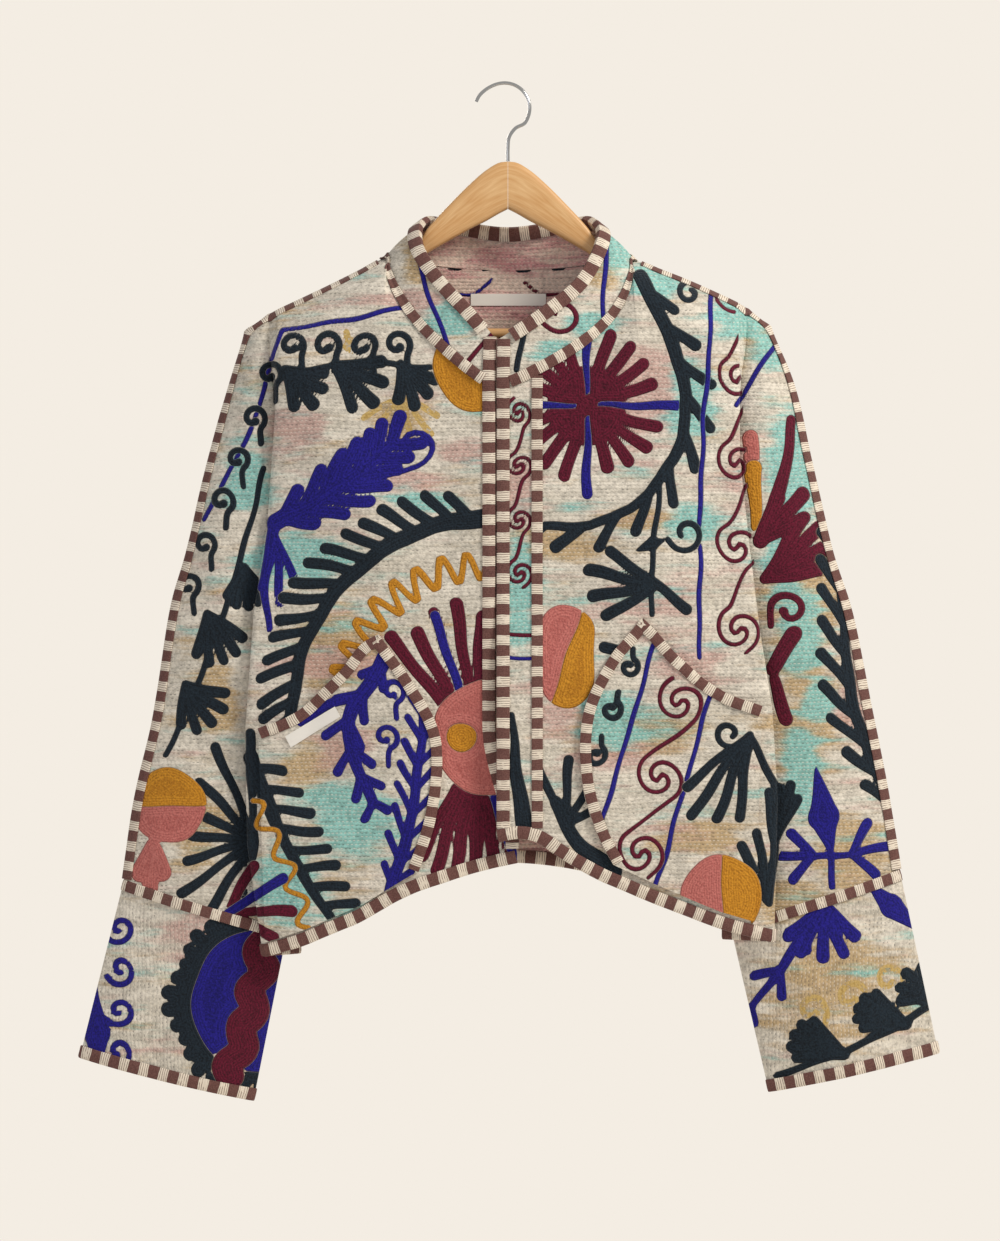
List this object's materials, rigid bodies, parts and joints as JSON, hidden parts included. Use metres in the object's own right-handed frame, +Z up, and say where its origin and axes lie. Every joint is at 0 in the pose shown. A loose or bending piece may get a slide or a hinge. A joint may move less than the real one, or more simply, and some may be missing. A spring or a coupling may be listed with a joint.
{
  "type": "kantha jacket on wooden hanger",
  "caption": "Boxy open-front quilted jacket with a stand collar, striped bindings and patch pockets, hung on a wooden coat hanger.",
  "frame": {"origin": "inside top of the hanger's hook, where it rests on a rail", "axes": "+Z up, -Y toward the jacket's front, +X toward the wearer's left"},
  "size_m": [0.786, 0.0936, 0.9274],
  "materials": {
    "quilted_cloth": "layered cotton held by rows of running stitch, with thick thread embroidery",
    "striped_binding": "brown and ivory striped cotton tape",
    "label_cloth": "plain woven white",
    "hanger_wood": "satin lacquer",
    "hook_wire": "polished"
  },
  "bodies": {
    "root": {"front_right": "quilted_cloth", "front_left": "quilted_cloth", "placket_band": "quilted_cloth", "back": "quilted_cloth", "cuff_right": "quilted_cloth", "cuff_left": "quilted_cloth", "collar": "quilted_cloth", "pocket_right": "quilted_cloth", "pocket_left": "quilted_cloth", "pocket_right_tape": "striped_binding", "pocket_left_tape": "striped_binding", "pocket_label": "label_cloth", "neck_label": "label_cloth", "shoulder_tape_right": "striped_binding", "shoulder_tape_left": "striped_binding", "hem_tape_right": "striped_binding", "hem_tape_left": "striped_binding", "back_hem_tape": "striped_binding", "cuff_seam_tape_right": "striped_binding", "cuff_seam_tape_left": "striped_binding", "cuff_hem_tape_right": "striped_binding", "cuff_hem_tape_left": "striped_binding", "front_edge_tape_right": "striped_binding", "front_edge_tape_left": "striped_binding", "collar_edge_tape": "striped_binding", "neck_seam_tape": "striped_binding", "placket_seam_tape": "striped_binding", "hanger_arm_right": "hanger_wood", "hanger_arm_left": "hanger_wood", "hanger_bar": "hanger_wood", "hanger_hook": "hook_wire"}
  },
  "joints": []
}
